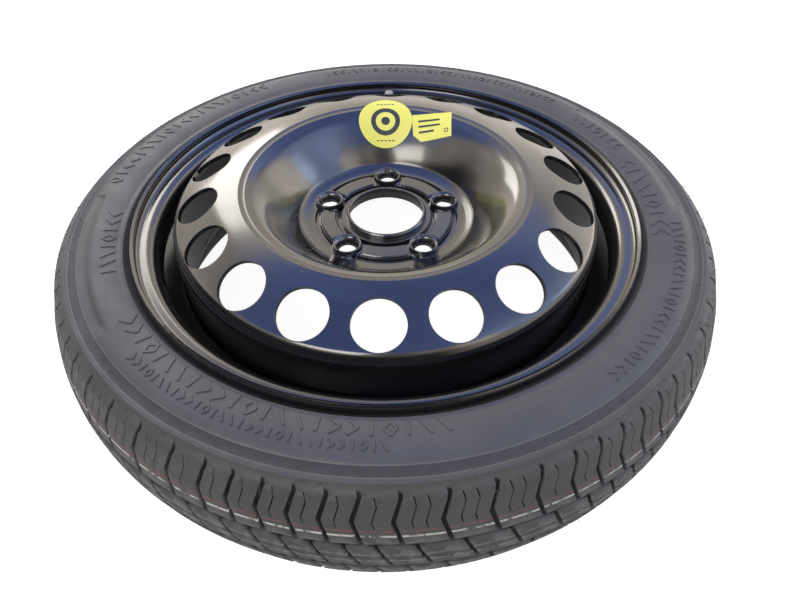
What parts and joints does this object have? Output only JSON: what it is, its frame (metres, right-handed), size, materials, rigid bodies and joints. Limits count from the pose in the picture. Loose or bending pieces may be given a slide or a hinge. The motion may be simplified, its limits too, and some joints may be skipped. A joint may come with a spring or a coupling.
{
  "type": "space saver spare wheel",
  "caption": "Narrow temporary tyre on a black pressed steel wheel with a deep bowl, round vents, a centre bore, bolt seats and a snap-in valve.",
  "frame": {"origin": "centre of the centre bore in the plane of the face that meets the hub", "axes": "+Z along the spin axis towards the outer face; +Y towards the side with the valve, 1.7 degrees off it"},
  "size_m": [0.582, 0.582, 0.152],
  "materials": {
    "tyre_rubber": "matte rubber with a faint sheen",
    "rim_paint": "gloss black paint",
    "disc_paint": "gloss black paint",
    "weld_paint": "painted over weld",
    "label_film": "printed film",
    "valve_rubber": "matte",
    "valve_brass": "turned",
    "cap_plastic": "moulded"
  },
  "bodies": {
    "wheel": {"tyre": "tyre_rubber", "rim": "rim_paint", "disc": "disc_paint", "disc_welds": "weld_paint", "round_label": "label_film", "flat_label": "label_film", "valve_body": "valve_rubber", "valve_stem": "valve_brass", "core_barrel": "valve_brass", "core_seal": "valve_rubber", "core_spring": "valve_brass"},
    "cap": {"valve_cap": "cap_plastic", "cap_seal": "valve_rubber"},
    "pin": {"core_pin": "valve_brass", "core_pin_seal": "valve_rubber"}
  },
  "joints": [
    {"name": "valve_cap_off", "type": "slide", "parent": "wheel", "child": "cap", "axis": [0, 0, 1], "range_m": [0, 0.03]},
    {"name": "core_pin_press", "type": "slide", "parent": "wheel", "child": "pin", "axis": [0, 0, -1], "range_m": [0, 0.0012], "stiffness_N_per_m": 1500, "springref_m": -0.001, "deforming": ["core_spring"]}
  ]
}
